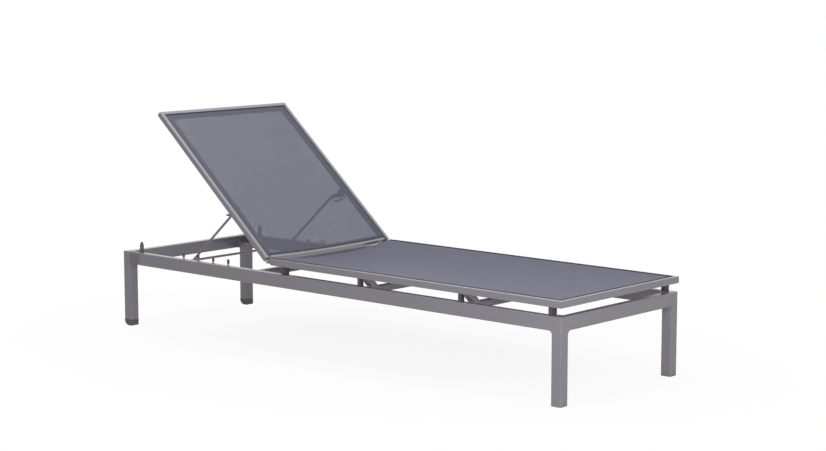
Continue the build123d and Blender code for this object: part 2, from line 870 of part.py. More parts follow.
def rack_pin_y():
    """The Y of the rack's pins, close inside its upright web."""
    return y_rail - rack_thickness - contact_gap - rack_pin_diameter / 2


def rivet_places():
    """X of the rivets that hold the rack, between its pins."""
    first = rack_pin_places()[0]
    return [first + share * rack_pin_pitch for share in rivet_pitch_shares]


def rivet_z():
    """The height of the rack's rivets, in the middle of its web above the ledge."""
    return rack_top() + (rack_web_height - rack_thickness) / 2


def flat_rod_x():
    """The X of the cross rod when the backrest is flat, its arms lying toward the head."""
    x, z = pivot_point()
    arm = hypot(x - rod_x, z - rod_height)
    drop = axis_z - bail_pivot_behind - rod_height
    return axis_x - bail_pivot_along - sqrt(arm * arm - drop * drop)


def rack():
    """An angle strip on the side rail's inner face: a ledge for the cross rod and an upright web."""
    pins = rack_pin_places()
    x = (flat_rod_x() - rack_head_reach, pins[-1] + rack_foot_reach)
    top = rack_top()
    low = top - rack_thickness
    strip = block(x, (y_rail - rack_ledge_width, y_rail), (low, top))
    strip += block(x, (y_rail - rack_thickness, y_rail), (low, low + rack_web_height))
    for pin in pins:
        radius = rack_spigot_diameter / 2 + pin_clearance
        strip -= round_bar(radius, (pin, rack_pin_y(), low - overrun), (pin, rack_pin_y(), top + overrun))
    for place in rivet_places():
        radius = rack_rivet_diameter / 2 + pin_clearance
        strip -= cross_pin(radius, (place, rivet_z()), (y_rail - rack_ledge_width, y_rail + overrun))
    return strip


def pin_bar(x, diameter, z):
    """An upright cylinder on the axis of the rack pin at an X."""
    return round_bar(diameter / 2, (x, rack_pin_y(), z[0]), (x, rack_pin_y(), z[1]))


def rack_stems():
    """One rack's upright stems, each with a spigot through the ledge."""
    top = rack_top()
    end = top + rack_pin_height - rack_stem_end
    stems = []
    for x in rack_pin_places():
        stem = pin_bar(x, rack_stem_diameter, (top, end))
        stems.append(stem + pin_bar(x, rack_spigot_diameter, (top - rack_thickness, top)))
    return group(stems)


def rack_pins():
    """The dark sleeves on the ends of one rack's stems."""
    top = rack_top() + rack_pin_height
    low = top - rack_sleeve_height
    sleeves = []
    for x in rack_pin_places():
        sleeve = pin_bar(x, rack_pin_diameter, (low, top))
        rim = sleeve.edges().filter_by(GeomType.CIRCLE).sort_by(Axis.Z)[-1]
        bore = pin_bar(x, rack_stem_diameter + plug_clearance, (low - overrun, top - rack_stem_end))
        sleeves.append(fillet(rim, rack_pin_round) - bore)
    return group(sleeves)


def rack_rivets():
    """One rack's rivets, through its web into the side rail."""
    face = y_rail - rack_thickness
    rivets = []
    for x in rivet_places():
        place = (x, rivet_z())
        shank = cross_pin(rack_rivet_diameter / 2, place, (face, y_rail + rail_wall + rack_rivet_reach))
        rivets.append(shank + cross_pin(rack_rivet_head / 2, place, (face - rack_rivet_head_height, face)))
    return group(rivets)


def write_base():
    """Legs, feet, rails and corner pieces."""
    x_glide = x_foot - leg_width
    x = x_head + leg_setback
    save_pair("head_leg", leg(x_head, head_cap_height, x_head) + end_rail_weld(x))
    welds = side_rail_weld(x_glide) + end_rail_weld(x_foot - rail_width)
    save_pair("foot_leg", leg(x_glide, glide_height, x_foot) + welds)
    save_pair("head_leg_cap", head_cap())
    save_pair("foot_leg_glide", foot_glide())
    save_pair("base_side_rail", side_rail())
    save("base_head_rail", rail_tube((x, x + rail_width), (-y_leg, y_leg), z_rail))
    save("base_foot_rail", rail_tube((x_foot - rail_width, x_foot), (-y_leg, y_leg), z_rail))
    cross = axis_x - cross_rail_setback
    low = base_height - cross_rail_height
    save("base_cross_rail", rail_tube((cross - rail_width, cross), (-y_rail, y_rail), low))
    save_pair("head_connector", head_connector())
    save_pair("head_corner_bracket", head_corner_bracket())
    save_pair("rest_post", rest_post())
    save("rest_post_tips", group([post_tip(), other_side(post_tip())]))


def write_racks():
    """The racks on the side rails."""
    save_pair("bail_rack", rack())
    save("rack_stems", group([rack_stems(), other_side(rack_stems())]))
    save_pair("rack_pins", rack_pins())
    save("rack_rivets", group([rack_rivets(), other_side(rack_rivets())]))


def write_seat():
    """The seat frame on its spacer blocks, with its fabric and its half of the hinge."""
    save_pair("spacer_blocks", group([spacer(x, depth) for x, depth in spacer_places()]))
    bolts = group([spacer_bolt(x, depth) for x, depth in spacer_places()])
    save("spacer_bolts", group([bolts, other_side(bolts)]))
    save_pair("seat_side_rail", seat_side_rail())
    save("seat_foot_rail", end_frame_rail(x_deck, 1, deck_height, seat_rail_height))
    save("seat_head_bar", seat_head_bar())
    head_x, foot_x = cross_bar_places()
    save("seat_cross_bar_head", cross_bar(head_x))
    save("seat_cross_bar_foot", cross_bar(foot_x))
    save("seat_sling", seat_sling())
    save("seat_splines", seat_splines())
    save_pair("seat_hinge_clevis", seat_hinge_ears())
    save("hinge_pins", group([hinge_pin(), other_side(hinge_pin())]))


def write_backrest():
    """The backrest frame, raised, with its fabric, its half of the hinge and the bail's brackets."""
    save_pair("backrest_side_rail", in_back(back_side_rail()))
    save("backrest_top_rail", in_back(end_frame_rail(-back_end, -1, back_front, back_thickness)))
    save("backrest_bottom_bar", in_back(back_bottom_bar()))
    save("backrest_sling", in_back(back_sling()))
    save("backrest_splines", in_back(back_splines()))
    save_pair("backrest_hinge_tongue", in_back(back_hinge_tongue()))
    save_pair("bail_bracket", in_back(bail_bracket()))
    screws = in_back(bracket_screws())
    save("bail_bracket_screws", group([screws, other_side(screws)]))
    save("bail_pivot_pins", group([pivot_pin(), other_side(pivot_pin())]))
    save("bail_pivot_spacers", group([pivot_spacer(), other_side(pivot_spacer())]))


def write_bail():
    """The bail that props the backrest."""
    save_pair("bail_arm", bail_arm())
    save("bail_cross_rod", bail_cross_rod())


write_base()
write_racks()
write_seat()
write_backrest()
write_bail()
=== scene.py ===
"""Looks of a sling chaise lounge: woven fabric, coated metal, moulded plastic, and its stage."""
import json
from math import cos, radians, sin

import bmesh
import bpy
import numpy as np
from bpy.props import FloatProperty, FloatVectorProperty, PointerProperty
from mathutils import Matrix, Vector


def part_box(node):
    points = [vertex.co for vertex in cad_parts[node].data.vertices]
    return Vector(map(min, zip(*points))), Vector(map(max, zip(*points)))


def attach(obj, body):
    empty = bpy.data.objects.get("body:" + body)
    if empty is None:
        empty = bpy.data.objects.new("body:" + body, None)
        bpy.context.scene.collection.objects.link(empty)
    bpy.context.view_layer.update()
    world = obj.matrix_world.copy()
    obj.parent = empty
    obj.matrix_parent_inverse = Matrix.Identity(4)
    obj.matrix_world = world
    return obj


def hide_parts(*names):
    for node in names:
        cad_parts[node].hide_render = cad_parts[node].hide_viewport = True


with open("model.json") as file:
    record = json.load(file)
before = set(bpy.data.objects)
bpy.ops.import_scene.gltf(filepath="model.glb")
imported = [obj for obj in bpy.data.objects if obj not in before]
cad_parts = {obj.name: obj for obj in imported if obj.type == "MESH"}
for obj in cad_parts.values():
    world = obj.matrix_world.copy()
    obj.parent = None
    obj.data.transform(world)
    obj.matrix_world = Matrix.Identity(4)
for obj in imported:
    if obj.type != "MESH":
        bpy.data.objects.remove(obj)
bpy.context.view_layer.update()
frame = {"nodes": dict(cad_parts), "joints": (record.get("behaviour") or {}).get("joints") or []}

bl_info = {
    "name": "Sling chaise lounge",
    "version": (1, 0, 0),
    "blender": (4, 5, 0),
    "location": "3D View > Sidebar > Lounge",
    "description": "Dresses the lounge's frame in its fabric and finishes, and sets its stage",
    "category": "Object",
}

# Places of the frame's pieces, in metres
FOOT_LOW, FOOT_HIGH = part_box("seat_foot_rail")
LEG_LOW, LEG_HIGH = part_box("foot_leg_left")
RAIL_LOW, RAIL_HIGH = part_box("base_side_rail_left")
SEAT_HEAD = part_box("seat_side_rail_left")[0].x
RAIL_INNER, SEAT_FOOT = FOOT_LOW.x, FOOT_HIGH.x
SEAT_BOTTOM, SEAT_TOP = FOOT_LOW.z, FOOT_HIGH.z
DECK_SIDE = FOOT_HIGH.y
LEG_INNER, BASE_SIDE = LEG_LOW.y, LEG_HIGH.y
RAIL_SIDE = RAIL_LOW.y
RAIL_BOTTOM, RAIL_TOP = RAIL_LOW.z, RAIL_HIGH.z

# The backrest's hinge. The backrest is level at the joint's lower limit
HINGE = next(joint for joint in frame["joints"] if joint["name"] == "backrest_hinge")
AXIS = Vector(HINGE["pos_m"])
BACK_ANGLE = -radians(min(HINGE["range_deg"]))

# Sections of the seat's and the backrest's rails, in metres: a lip, a groove and a lower ledge
LIP = 0.013
GROOVE = 0.005
FRAME_WIDTH = 0.026
LEDGE_DROP = 0.0026

# The level backrest, measured from the hinge's axis, in metres
BACK_START = 0.0073
BACK_BAR_LIP = 0.008
BACK_LENGTH = 0.7143
BACK_FRONT = 0.011
BACK_REAR = -0.0076

# The fabric: its rise over the ledge, its reach into the grooves, its sag at the end rail, and the
# length before that rail over which its hang fades out, in metres
FABRIC_LIFT = 0.001
GROOVE_REACH = 0.0004
END_SAG = 0.0002
SAG_FADE = 0.02

# Points of the fabric's grid: between the side rails, along as far as the end rail, on each ledge
SPAN_POINTS = 91
RUN_POINTS = 150
LEDGE_POINTS = 6

# The bead on the seat's splines: its height, the rise of its middle over the rails, the radius of
# its corners and its gap at the head, in metres
BEAD_HEIGHT = 0.0036
BEAD_LIFT = 0.0003
BEAD_TURN = 0.004
BEAD_GAP = 0.001

# Points of the bead's line along a side, round a corner and across the foot, and of its section
BEAD_RUN_POINTS = 60
BEAD_TURN_POINTS = 9
BEAD_CROSS_POINTS = 40
BEAD_SECTION_POINTS = 16

# Half the width of the band along an edge where the coat is rubbed, in metres
WORN_WIDTH = 0.0028

# Colours that aren't settings
WHITE = (1.0, 1.0, 1.0, 1.0)
STAIN_COLOUR = (0.12, 0.09, 0.07, 1.0)
# Painted shade for the low parts of the weave, between and under the yarns
WEAVE_GAP_SHADE_COLOUR = (0.02, 0.02, 0.025, 1.0)
# Painted shade on the hem, along the fabric's edges where it lies over the rails and turns into the
# grooves
HEM_SHADE_COLOUR = (0.02, 0.02, 0.035, 1.0)

# The name of the map that the weave follows
CLOTH_MAP = "cloth"

# Width of the camera's sensor, in millimetres
SENSOR_WIDTH = 36

# The floor: half its side in metres, its grid's points, the share of white that the camera sees
# where it keeps the shadow, and how far from the middle that share starts to grow, in metres
FLOOR_HALF = 40
FLOOR_POINTS = 9
FLOOR_WHITE = 0.9
SHADOW_REACH = 0.35

# Each lamp's name, its setting for power, its place, its target and its size, in metres
LAMPS = (
    ("top lamp", "key_power", (-0.5, -0.3, 3.2), (0.0, 0.0, 0.2), (3.2, 2.4)),
    ("rim lamp", "rim_power", (-0.3, 2.3, 2.4), (-0.45, 0.0, 0.5), (1.8, 1.2)),
    ("side lamp", "side_power", (2.1, -1.9, 1.1), (1.0, -0.3, 0.25), (1.5, 1.1)),
    ("foot lamp", "foot_power", (4.2, -0.6, 1.6), (0.3, 0.0, 0.3), (2.2, 1.8)),
)


# Settings

class FabricSettings(bpy.types.PropertyGroup):
    """Sizes and colours of the woven fabric."""
    warp_colour: FloatVectorProperty(
        name="Warp colour", description="Colour of the yarns along the lounge",
        subtype="COLOR", default=(0.05, 0.05, 0.1), min=0, max=1)
    weft_colour: FloatVectorProperty(
        name="Weft colour", description="Colour of the yarns across the lounge",
        subtype="COLOR", default=(0.041, 0.041, 0.08), min=0, max=1)
    sheen_colour: FloatVectorProperty(
        name="Sheen", description="Colour of the yarns' sheen",
        subtype="COLOR", default=(0.75, 0.77, 1.0), min=0, max=1)
    warp_pitch: FloatProperty(
        name="Warp pitch", description="Distance from one yarn along the lounge to the next",
        unit="LENGTH", default=0.0027, min=0.0005, max=0.01, precision=4)
    weft_pitch: FloatProperty(
        name="Weft pitch", description="Distance from one yarn across the lounge to the next",
        unit="LENGTH", default=0.0012, min=0.0005, max=0.01, precision=4)
    open_share: FloatProperty(
        name="Open share", description="Share of each pitch that lies open between two yarns",
        subtype="FACTOR", default=0.4, min=0, max=0.8)
    thickness: FloatProperty(
        name="Thickness", description="Thickness of the fabric",
        unit="LENGTH", default=0.00016, min=0.0001, max=0.003, precision=5)
    hem_width: FloatProperty(
        name="Hem", description="Width of the doubled hem along the splines",
        unit="LENGTH", default=0.022, min=0, max=0.06, precision=3)
    seat_head_sag: FloatProperty(
        name="Seat sag, head", description="How far the seat's fabric hangs at its head edge",
        unit="LENGTH", default=0.018, min=0, max=0.04, precision=4)
    seat_middle_sag: FloatProperty(
        name="Seat sag, middle", description="How far the seat's fabric hangs at its middle",
        unit="LENGTH", default=0.014, min=0, max=0.04, precision=4)
    back_foot_sag: FloatProperty(
        name="Backrest sag, foot",
        description="How far the backrest's fabric hangs at its lower bar",
        unit="LENGTH", default=0.008, min=0, max=0.04, precision=4)
    back_middle_sag: FloatProperty(
        name="Backrest sag, middle",
        description="How far the backrest's fabric hangs at its middle",
        unit="LENGTH", default=0.009, min=0, max=0.04, precision=4)


class FinishSettings(bpy.types.PropertyGroup):
    """Colours of the finishes on metal, plastic and rubber."""
    coat_colour: FloatVectorProperty(
        name="Powder coat",
        description="Colour of the frames, rails, legs, bail, glides and head connectors",
        subtype="COLOR", default=(0.158, 0.147, 0.172), min=0, max=1)
    worn_colour: FloatVectorProperty(
        name="Worn coat", description="Colour of rubbed edges, scuffs and dust",
        subtype="COLOR", default=(0.42, 0.42, 0.44), min=0, max=1)
    plastic_colour: FloatVectorProperty(
        name="Plastic",
        description="Colour of the caps, rest posts, rack sleeves and bail brackets",
        subtype="COLOR", default=(0.07, 0.069, 0.076), min=0, max=1)
    rubber_colour: FloatVectorProperty(
        name="Rubber",
        description="Colour of the splines that hold the fabric, and of the spacer blocks",
        subtype="COLOR", default=(0.035, 0.035, 0.045), min=0, max=1)
    steel_colour: FloatVectorProperty(
        name="Steel", description="Colour of bolts, screws, rivets, stems and pins",
        subtype="COLOR", default=(0.42, 0.42, 0.44), min=0, max=1)


class StageSettings(bpy.types.PropertyGroup):
    """Camera, lamps, sky and floor."""
    azimuth: FloatProperty(
        name="Azimuth",
        description="Turn of the camera round the lounge; nought looks along +Y",
        subtype="ANGLE", default=radians(41.666))
    pitch: FloatProperty(
        name="Pitch", description="How far the camera looks down",
        subtype="ANGLE", default=radians(7.842))
    target: FloatVectorProperty(
        name="Target", description="Point in the middle of the picture",
        subtype="TRANSLATION", default=(0.133537, 0.005595, 0.43703))
    distance: FloatProperty(
        name="Distance", description="From the camera to the target",
        unit="LENGTH", default=6.462226)
    lens: FloatProperty(
        name="Lens", description="Focal length on a sensor 36 mm wide, in millimetres",
        default=83.87)
    key_power: FloatProperty(
        name="Top lamp", description="Power of the large lamp overhead, in watts", default=120)
    side_power: FloatProperty(
        name="Side lamp", description="Power of the lamp by the foot end's right corner, in watts",
        default=51)
    foot_power: FloatProperty(
        name="Foot lamp", description="Power of the lamp past the foot end, in watts", default=36)
    rim_power: FloatProperty(
        name="Rim lamp", description="Power of the lamp above the far side, in watts", default=2.5)
    sky_strength: FloatProperty(
        name="Sky", description="Strength of the even light from all round", default=0.07)
    floor_colour: FloatVectorProperty(
        name="Floor", description="Colour of the floor",
        subtype="COLOR", default=(0.55, 0.55, 0.55), min=0, max=1)


# Materials

class Wire:
    """A socket of a material's nodes. Plain arithmetic on it adds Math nodes."""

    def __init__(self, tree, socket=None):
        self.tree = tree
        self.socket = socket

    def node(self, kind, settings=None, inputs=None, output=0):
        """Add a node of a type, give it its settings, then the values or links of its sockets."""
        made = self.tree.nodes.new(kind)
        for name, value in (settings or {}).items():
            setattr(made, name, value)
        for name, value in (inputs or {}).items():
            if isinstance(value, Wire):
                self.tree.links.new(value.socket, made.inputs[name])
            else:
                made.inputs[name].default_value = value
        return Wire(self.tree, made.outputs[output])

    def math(self, operation, *values):
        """A Math node on this socket and other values or sockets."""
        inputs = dict(enumerate((self, *values)))
        return self.node("ShaderNodeMath", {"operation": operation}, inputs)

    def reflected(self, operation, value):
        """A Math node on a value and this socket, in that order."""
        return self.node("ShaderNodeMath", {"operation": operation}, {0: value, 1: self})

    def __add__(self, other):
        return self.math("ADD", other)

    def __radd__(self, other):
        return self.reflected("ADD", other)

    def __sub__(self, other):
        return self.math("SUBTRACT", other)

    def __rsub__(self, other):
        return self.reflected("SUBTRACT", other)

    def __mul__(self, other):
        return self.math("MULTIPLY", other)

    def __rmul__(self, other):
        return self.reflected("MULTIPLY", other)

    def __truediv__(self, other):
        return self.math("DIVIDE", other)

    def __abs__(self):
        return self.math("ABSOLUTE")

    def clamped(self):
        """This value held between nought and one."""
        return self.math("MINIMUM", 1.0).math("MAXIMUM", 0.0)

    def past(self, threshold, gain):
        """Nought as far as a threshold, then rising with a gain as far as one."""
        return ((self - threshold) * gain).clamped()

    def mixed(self, low, high):
        """A colour between two, by this value. The Mix node's colours are its sockets 6 and 7."""
        settings = {"data_type": "RGBA", "clamp_factor": True}
        return self.node("ShaderNodeMix", settings, {0: self, 6: low, 7: high}, output=2)

    def split(self):
        """The three parts of a vector."""
        return [self.node("ShaderNodeSeparateXYZ", None, {0: self}, part) for part in range(3)]

    def object_place(self):
        """Object coordinates, which are the frame's own, in metres."""
        return self.node("ShaderNodeTexCoord", output="Object")

    def noise(self, scale, detail=2.0, stretch=None):
        """Soft noise from 0 to 1 on these coordinates, stretched by three factors if given."""
        place = self if stretch is None else self.node(
            "ShaderNodeVectorMath", {"operation": "MULTIPLY"}, {0: self, 1: stretch})
        inputs = {"Vector": place, "Scale": scale, "Detail": detail}
        return self.node("ShaderNodeTexNoise", None, inputs)

    def near(self, places, width):
        """One where this value is at one of some places, and nought a width away."""
        found = None
        for place in places:
            closeness = 1.0 - abs(self - place) / width
            found = closeness if found is None else found.math("MAXIMUM", closeness)
        return found.clamped()


def colour(value, share=1.0):
    """A setting's colour, or a share of it, with an alpha of one."""
    return tuple(part * share for part in value) + (1.0,)


def new_finish(name, **plain):
    """A material, its first wire and its shader, with plain values named with _ for a space."""
    material = bpy.data.materials.new(name)
    material.use_nodes = True
    tree = material.node_tree
    shader = tree.nodes["Principled BSDF"]
    for field, value in plain.items():
        shader.inputs[field.replace("_", " ")].default_value = value
    return material, Wire(tree), shader


def connect(shader, **values):
    """Link wires to a shader's sockets, named with _ for a space."""
    for name, value in values.items():
        value.tree.links.new(value.socket, shader.inputs[name.replace("_", " ")])


def bump(height, distance, strength):
    """A surface normal from a height, with the distance that a height of one stands for."""
    inputs = {"Strength": strength, "Distance": distance, "Height": height}
    return height.node("ShaderNodeBump", None, inputs)


def powder_coat(name, settings, edges, turned=False, gloss=0.65):
    """A satin powder coat: a fine peel, faint clouds, dust on top faces and rubbed edges.

    edges gives, for two axes of the piece, the places of its long edges; a rubbed spot is where
    both are near and a noise is high. A turned coat reads them along the raised backrest.
    """
    material, wire, shader = new_finish(
        name, Metallic=0.15, Coat_Weight=gloss, Coat_Roughness=0.15)
    place = wire.object_place()
    if turned:
        lowered = place.node(
            "ShaderNodeVectorMath", {"operation": "SUBTRACT"}, {0: place, 1: tuple(AXIS)})
        inputs = {"Vector": lowered, "Rotation": (0.0, -BACK_ANGLE, 0.0)}
        place = lowered.node("ShaderNodeMapping", None, inputs)
    parts = dict(zip("xyz", place.split()))
    parts["y"] = abs(parts["y"])
    cloud = place.noise(scale=7.0, detail=4.0)
    peel = place.noise(scale=420.0)
    rubbed = None
    for first, first_places, second, second_places in edges:
        line = (parts[first].near(first_places, WORN_WIDTH)
                * parts[second].near(second_places, WORN_WIDTH))
        rubbed = line if rubbed is None else rubbed.math("MAXIMUM", line)
    chips = place.noise(scale=55.0, detail=5.0).past(0.47, gain=7.0)
    worn = (rubbed * 1.5).clamped() * chips
    shade = (cloud * 0.8 + peel * 0.35 - 0.1).clamped()
    base = shade.mixed(colour(settings.coat_colour, 0.9), colour(settings.coat_colour, 1.1))
    up = wire.node("ShaderNodeTexCoord", output="Normal").split()[2]
    dust = up.past(0.6, gain=2.0) * place.noise(scale=24.0, detail=5.0) * 0.25
    base = dust.mixed(base, colour(settings.worn_colour))
    base = (worn * 0.15).mixed(base, colour(settings.worn_colour))
    connect(
        shader,
        Base_Color=base,
        Roughness=0.36 + cloud * 0.14 + worn * 0.1,
        Normal=bump(peel, distance=0.00006, strength=0.6),
    )
    return material


def rod_coat(name, settings, shade):
    """A satin coat of some shade on the bail: fine peel, and scuffs that run in short streaks."""
    material, wire, shader = new_finish(name, Metallic=0.2, Coat_Weight=0.3)
    place = wire.object_place()
    cloud = place.noise(scale=16.0, detail=4.0)
    peel = place.noise(scale=520.0)
    streaks = place.noise(scale=60.0, detail=6.0, stretch=(1.0, 3.0, 3.0))
    scuffs = streaks.past(0.6, gain=8.0)
    base = cloud.mixed(colour(shade, 0.85), colour(shade, 1.2))
    base = (scuffs * 0.2).mixed(base, colour(settings.worn_colour))
    connect(
        shader,
        Base_Color=base,
        Roughness=0.34 + cloud * 0.18,
        Normal=bump(peel, distance=0.00005, strength=0.6),
    )
    return material


def moulded_plastic(name, settings, shade):
    """Moulded plastic: a fine spark grain, mottled, paler where it is scuffed near the floor."""
    material, wire, shader = new_finish(name)
    place = wire.object_place()
    grain = place.node("ShaderNodeTexVoronoi", None, {"Vector": place, "Scale": 900.0})
    cloud = place.noise(scale=30.0, detail=4.0)
    scuff_height = 0.03
    low = (1.0 - place.split()[2] / scuff_height).clamped()
    scuffs = place.noise(scale=140.0, detail=5.0).past(0.5, gain=6.0) * (low * 0.8 + 0.08)
    base = cloud.mixed(colour(shade, 0.8), colour(shade, 1.25))
    base = (scuffs * 0.5).mixed(base, colour(settings.worn_colour, 0.6))
    connect(
        shader,
        Base_Color=base,
        Roughness=0.46 + cloud * 0.16,
        Normal=bump(grain, distance=0.00008, strength=0.7),
    )
    return material


def spline_rubber(name, settings):
    """Extruded rubber: matt, with faint lines along it and dust."""
    material, wire, shader = new_finish(name, Specular_IOR_Level=0.1)
    place = wire.object_place()
    lines = place.noise(scale=300.0, detail=3.0, stretch=(0.05, 1.0, 1.0))
    base = lines.mixed(colour(settings.rubber_colour, 0.7), colour(settings.rubber_colour, 1.6))
    dust = place.noise(scale=45.0, detail=5.0) * 0.2
    base = dust.mixed(base, colour(settings.worn_colour, 0.4))
    connect(
        shader,
        Base_Color=base,
        Roughness=0.66 + lines * 0.2,
        Normal=bump(lines, distance=0.0001, strength=0.5),
    )
    return material


def turned_steel(name, settings):
    """Plated steel: bright, faintly brushed round its turned faces, with a little staining."""
    material, wire, shader = new_finish(name, Metallic=1.0)
    place = wire.object_place()
    brushed = place.noise(scale=900.0, stretch=(0.1, 1.0, 1.0))
    stain = place.noise(scale=180.0, detail=5.0).past(0.52, gain=5.0)
    base = brushed.mixed(colour(settings.steel_colour, 0.8), colour(settings.steel_colour, 1.2))
    base = (stain * 0.5).mixed(base, STAIN_COLOUR)
    connect(
        shader,
        Base_Color=base,
        Roughness=0.3 + brushed * 0.15 + stain * 0.25,
        Normal=bump(brushed, distance=0.00003, strength=0.5),
    )
    return material


def woven_mesh(name, settings, cloth):
    """A plain weave of coated yarns with small openings between, closed in its doubled hem.

    On the piece's own map, in metres, each yarn's height is the absolute cosine of half a turn per
    pitch. The warp passes over the weft where the sum of their yarn numbers is even, and under it
    where it is odd. The weave is open where both heights are low. The hem runs along both sides,
    and along the end of the map that is furthest from nought. Shade is painted into the colour
    where the yarns are low, and the hem is painted dark as shade.
    """
    material, wire, shader = new_finish(
        name, Sheen_Weight=0.12, Sheen_Tint=colour(settings.sheen_colour), Specular_IOR_Level=0.62)
    map_place = wire.node("ShaderNodeUVMap", {"uv_map": CLOTH_MAP})
    across, along, _ = map_place.split()
    turns = [across / settings.warp_pitch, along / settings.weft_pitch]
    warp, weft = [abs((turn * np.pi).math("COSINE")) for turn in turns]
    numbers = [(turn + 0.5).math("FLOOR") for turn in turns]
    odd = (numbers[0] + numbers[1]).math("PINGPONG", 1.0)

    # Openings, and the hem that closes them
    edge = sin(settings.open_share * np.pi / 2)
    slope = 4.0
    openings = ((edge - warp) * slope).clamped() * ((edge - weft) * slope).clamped()
    half = float(cloth[..., 0].max()) - settings.hem_width
    end = float(np.abs(cloth[..., 1]).max()) - settings.hem_width
    at_side = abs(across).past(half, gain=1500.0)
    at_end = abs(along).past(end, gain=1500.0)
    hem = at_side.math("MAXIMUM", at_end)
    is_open = (openings * 12.0).clamped() * (1.0 - hem)

    # The height of the yarn on top, and which system it belongs to
    upper = odd * (weft - warp) + warp
    lower = odd * (warp - weft) + weft
    height = upper.math("MAXIMUM", lower * 0.6)
    lead = warp * (1.0 - odd * 0.5) - weft * (odd * 0.5 + 0.5)
    on_warp = (lead * 6.0 + 0.5).clamped()

    # Colours: each system's own, painted shade low between the yarns, then flecks, the hem painted
    # dark as shade, and soil
    twist = map_place.noise(scale=1.0, detail=3.0, stretch=(350.0, 40.0, 1.0))
    slub = map_place.noise(scale=1.0, detail=3.0, stretch=(30.0, 420.0, 1.0))
    warp_tint = twist.mixed(colour(settings.warp_colour, 0.75), colour(settings.warp_colour, 1.25))
    weft_tint = slub.mixed(colour(settings.weft_colour, 0.75), colour(settings.weft_colour, 1.25))
    base = on_warp.mixed(weft_tint, warp_tint)
    # Painted shade: the yarns darken towards their low parts, where they pass under and between
    # each other
    base = ((1.0 - height) * 0.55).mixed(base, WEAVE_GAP_SHADE_COLOUR)
    mottle = map_place.noise(scale=1.0, stretch=(150.0, 190.0, 1.0))
    flecks = ((mottle - 0.5) * 4.0 + 0.5).clamped()
    base = flecks.mixed(base, colour(settings.warp_colour, 0.35))
    # Painted shade: the hem is darkened where the fabric lies over the rails and turns down into
    # the grooves
    base = (hem * 0.6).mixed(base, HEM_SHADE_COLOUR)
    soil = wire.object_place().noise(scale=5.0, detail=5.0).past(0.45, gain=2.0) * 0.18
    base = soil.mixed(base, colour(settings.weft_colour, 0.6))
    connect(
        shader,
        Base_Color=base,
        Roughness=0.6 + (1.0 - height) * 0.25,
        Alpha=1.0 - is_open,
        Normal=bump(height, distance=0.0004, strength=0.25),
    )
    return material


def both(*kinds):
    """The names of the left and the right piece of some kinds."""
    return [f"{kind}_{side}" for kind in kinds for side in ("left", "right")]


def ends(name, axis):
    """Where a frame node starts and ends along an axis."""
    return tuple(getattr(corner, axis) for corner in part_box(name))


def coat_nodes(material, names):
    """Give a finish to frame nodes by name."""
    for name in names:
        piece = frame["nodes"][name]
        if not piece.material_slots:
            piece.data.materials.append(material)
        for slot in piece.material_slots:
            slot.material = material


# Surfaces

def grid_faces(rows, columns, round_columns=False):
    """Four corners for each face of a grid of points, joined round where its columns close."""
    numbers = np.arange(rows * columns).reshape(rows, columns)
    if round_columns:
        numbers = np.hstack([numbers, numbers[:, :1]])
    corners = [numbers[:-1, :-1], numbers[1:, :-1], numbers[1:, 1:], numbers[:-1, 1:]]
    return np.stack(corners, axis=-1).reshape(-1, 4)


def grid_piece(name, points, material, body, cloth=None, round_columns=False):
    """A smooth piece from a grid of points in rows and columns, with its map where one is given."""
    faces = grid_faces(*points.shape[:2], round_columns)
    mesh = bpy.data.meshes.new(name)
    mesh.from_pydata(points.reshape(-1, 3), [], faces)
    if cloth is not None:
        layer = mesh.uv_layers.new(name=CLOTH_MAP)
        layer.data.foreach_set("uv", cloth.reshape(-1, 2)[faces.reshape(-1)].reshape(-1))
    mesh.polygons.foreach_set("use_smooth", np.ones(len(faces), bool))
    mesh.materials.append(material)
    mesh.update()
    piece = bpy.data.objects.new(name, mesh)
    bpy.context.scene.collection.objects.link(piece)
    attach(piece, body)
    return piece


def fabric_grid(start, rail, end, sags, middle):
    """The fabric's middle surface in its frame's own place, and its map in metres.

    Along the frame the sag is the parabola through three sags at start, halfway and rail. Across,
    the fabric hangs in a parabola between the rails' inner edges and lies flat on the ledges, as
    far as the splines in the grooves; over the end rail it does the same.
    """
    inner = DECK_SIDE - FRAME_WIDTH
    edge = DECK_SIDE - LIP - GROOVE + GROOVE_REACH
    side = np.linspace(inner, edge, LEDGE_POINTS)[1:]
    across = np.concatenate([-side[::-1], np.linspace(-inner, inner, SPAN_POINTS), side])
    way = np.sign(end - start)
    along = np.concatenate([
        np.linspace(start, rail, RUN_POINTS), np.linspace(rail, end, LEDGE_POINTS)[1:]])
    share = np.clip((along - start) / (rail - start), 0, 1)
    first, half, last = sags
    bend = 2 * (first + last - 2 * half)
    sag = first + (last - first - bend) * share + bend * share ** 2
    hang = np.clip(1 - (across / inner) ** 2, 0, None)
    fade = np.clip((rail - along) * way / SAG_FADE, 0, 1)
    height = middle - (sag * fade)[:, None] * hang[None, :]
    points = np.empty((len(along), len(across), 3))
    points[..., 0] = along[:, None]
    points[..., 1] = across[None, :]
    points[..., 2] = height
    step = np.linalg.norm(np.diff(points, axis=1), axis=2)
    run = np.concatenate([np.zeros((len(along), 1)), np.cumsum(step, axis=1)], axis=1)
    run -= run[:, -1:] / 2
    cloth = np.stack([run, np.repeat(along[:, None], len(across), axis=1)], axis=-1)
    return points, cloth


def raised(points):
    """Points of the level backrest, from its axis to -X, turned up to the raised backrest."""
    x, y, z = points[..., 0], points[..., 1], points[..., 2]
    turned = [
        AXIS.x + x * cos(BACK_ANGLE) + z * sin(BACK_ANGLE),
        y,
        AXIS.z - x * sin(BACK_ANGLE) + z * cos(BACK_ANGLE),
    ]
    return np.stack(turned, axis=-1)


def thicken(piece, thickness):
    """Give a surface its thickness, half to each side."""
    solid = piece.modifiers.new("thickness", "SOLIDIFY")
    solid.thickness = thickness
    solid.offset = 0
    solid.use_even_offset = True


